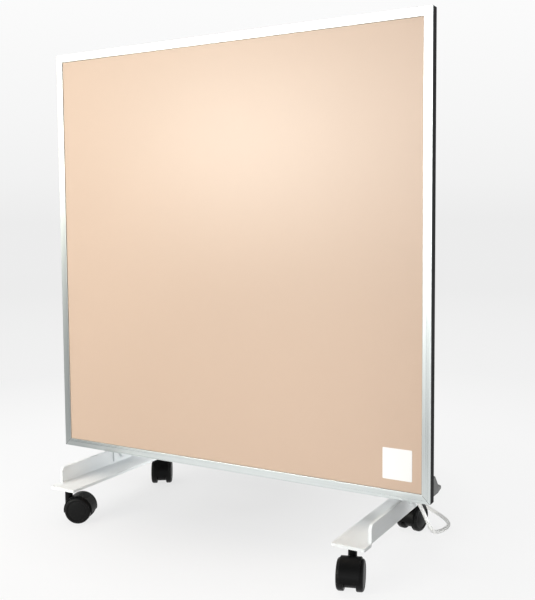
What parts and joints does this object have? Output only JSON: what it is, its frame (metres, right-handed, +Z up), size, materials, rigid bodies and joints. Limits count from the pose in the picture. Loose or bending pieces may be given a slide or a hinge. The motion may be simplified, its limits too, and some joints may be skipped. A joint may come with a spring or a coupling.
{
  "type": "panel heater",
  "caption": "Free-standing flat infrared panel heater: beige plate in a mitred metal frame, rear convection casing, bent sheet feet on swivelling twin-wheel castors, mains cord and plug.",
  "frame": {"origin": "on the floor, under the middle of the bounding box of the object without its cord", "axes": "+X to the right seen from the front, +Y towards the back, +Z up"},
  "size_m": [0.6, 0.4302, 0.687],
  "materials": {
    "bezel_aluminium": "satin anodised",
    "heating_plate": "satin glazed ceramic, opaque",
    "graphite_steel": "fine textured powder coat",
    "white_steel": "satin powder coat",
    "castor_plastic": "satin moulded nylon",
    "wheel_plastic": "matt moulded nylon",
    "plated_steel": "zinc plated",
    "key_aluminium": "mill finish",
    "cable_silicone": "matt silicone",
    "mat_fibre": "pressed mineral fibre",
    "grey_plastic": "fine sparked",
    "white_plastic": "matt moulded",
    "white_pvc": "soft satin",
    "tie_plastic": "matt"
  },
  "bodies": {
    "heater": {"bezel_bottom": "bezel_aluminium", "bezel_left": "bezel_aluminium", "bezel_right": "bezel_aluminium", "bezel_top": "bezel_aluminium", "box_screws": "plated_steel", "casing_screws": "plated_steel", "castor_front_left_stem": "plated_steel", "castor_front_right_stem": "plated_steel", "castor_rear_left_stem": "plated_steel", "castor_rear_right_stem": "plated_steel", "cord_coil": "white_pvc", "cord_gland": "grey_plastic", "cord_lead": "white_pvc", "cord_tail": "white_pvc", "cord_tie": "tie_plastic", "corner_keys": "key_aluminium", "front_plate": "heating_plate", "heating_cable": "cable_silicone", "insulation_mat": "mat_fibre", "left_foot": "white_steel", "left_upright": "white_steel", "m6_bolts": "white_steel", "m6_nuts": "white_steel", "plug_body": "white_pvc", "plug_pins": "plated_steel", "rear_casing": "graphite_steel", "rear_tray": "graphite_steel", "right_foot": "white_steel", "right_upright": "white_steel", "terminal_block": "white_plastic", "terminal_box": "grey_plastic", "thermal_cutout": "key_aluminium", "tray_screws": "plated_steel"},
    "castor_front_left": {"castor_front_left_hood": "castor_plastic", "castor_front_left_axle": "plated_steel"},
    "castor_front_left_wheel_a": {"castor_front_left_wheel_a": "wheel_plastic"},
    "castor_front_left_wheel_b": {"castor_front_left_wheel_b": "wheel_plastic"},
    "castor_front_right": {"castor_front_right_hood": "castor_plastic", "castor_front_right_axle": "plated_steel"},
    "castor_front_right_wheel_a": {"castor_front_right_wheel_a": "wheel_plastic"},
    "castor_front_right_wheel_b": {"castor_front_right_wheel_b": "wheel_plastic"},
    "castor_rear_left": {"castor_rear_left_hood": "castor_plastic", "castor_rear_left_axle": "plated_steel"},
    "castor_rear_left_wheel_a": {"castor_rear_left_wheel_a": "wheel_plastic"},
    "castor_rear_left_wheel_b": {"castor_rear_left_wheel_b": "wheel_plastic"},
    "castor_rear_right": {"castor_rear_right_hood": "castor_plastic", "castor_rear_right_axle": "plated_steel"},
    "castor_rear_right_wheel_a": {"castor_rear_right_wheel_a": "wheel_plastic"},
    "castor_rear_right_wheel_b": {"castor_rear_right_wheel_b": "wheel_plastic"}
  },
  "joints": [
    {"name": "castor_front_left_swivel", "type": "hinge", "parent": "heater", "child": "castor_front_left", "pos_m": [-0.228, -0.097, 0.035], "axis": [0, 0, 1], "continuous": true},
    {"name": "castor_front_left_wheel_a_roll", "type": "hinge", "parent": "castor_front_left", "child": "castor_front_left_wheel_a", "pos_m": [-0.21247, -0.09009, 0.019], "axis": [-0.4067, 0.9135, 0], "continuous": true},
    {"name": "castor_front_left_wheel_b_roll", "type": "hinge", "parent": "castor_front_left", "child": "castor_front_left_wheel_b", "pos_m": [-0.21247, -0.09009, 0.019], "axis": [-0.4067, 0.9135, 0], "continuous": true},
    {"name": "castor_front_right_swivel", "type": "hinge", "parent": "heater", "child": "castor_front_right", "pos_m": [0.228, -0.097, 0.035], "axis": [0, 0, 1], "continuous": true},
    {"name": "castor_front_right_wheel_a_roll", "type": "hinge", "parent": "castor_front_right", "child": "castor_front_right_wheel_a", "pos_m": [0.23325, -0.11317, 0.019], "axis": [0.9511, 0.309, 0], "continuous": true},
    {"name": "castor_front_right_wheel_b_roll", "type": "hinge", "parent": "castor_front_right", "child": "castor_front_right_wheel_b", "pos_m": [0.23325, -0.11317, 0.019], "axis": [0.9511, 0.309, 0], "continuous": true},
    {"name": "castor_rear_left_swivel", "type": "hinge", "parent": "heater", "child": "castor_rear_left", "pos_m": [-0.228, 0.123, 0.035], "axis": [0, 0, 1], "continuous": true},
    {"name": "castor_rear_left_wheel_a_roll", "type": "hinge", "parent": "castor_rear_left", "child": "castor_rear_left_wheel_a", "pos_m": [-0.21874, 0.10874, 0.019], "axis": [0.8387, 0.5446, 0], "continuous": true},
    {"name": "castor_rear_left_wheel_b_roll", "type": "hinge", "parent": "castor_rear_left", "child": "castor_rear_left_wheel_b", "pos_m": [-0.21874, 0.10874, 0.019], "axis": [0.8387, 0.5446, 0], "continuous": true},
    {"name": "castor_rear_right_swivel", "type": "hinge", "parent": "heater", "child": "castor_rear_right", "pos_m": [0.228, 0.123, 0.035], "axis": [0, 0, 1], "continuous": true},
    {"name": "castor_rear_right_wheel_a_roll", "type": "hinge", "parent": "castor_rear_right", "child": "castor_rear_right_wheel_a", "pos_m": [0.22563, 0.10617, 0.019], "axis": [0.9903, -0.1392, 0], "continuous": true},
    {"name": "castor_rear_right_wheel_b_roll", "type": "hinge", "parent": "castor_rear_right", "child": "castor_rear_right_wheel_b", "pos_m": [0.22563, 0.10617, 0.019], "axis": [0.9903, -0.1392, 0], "continuous": true}
  ]
}
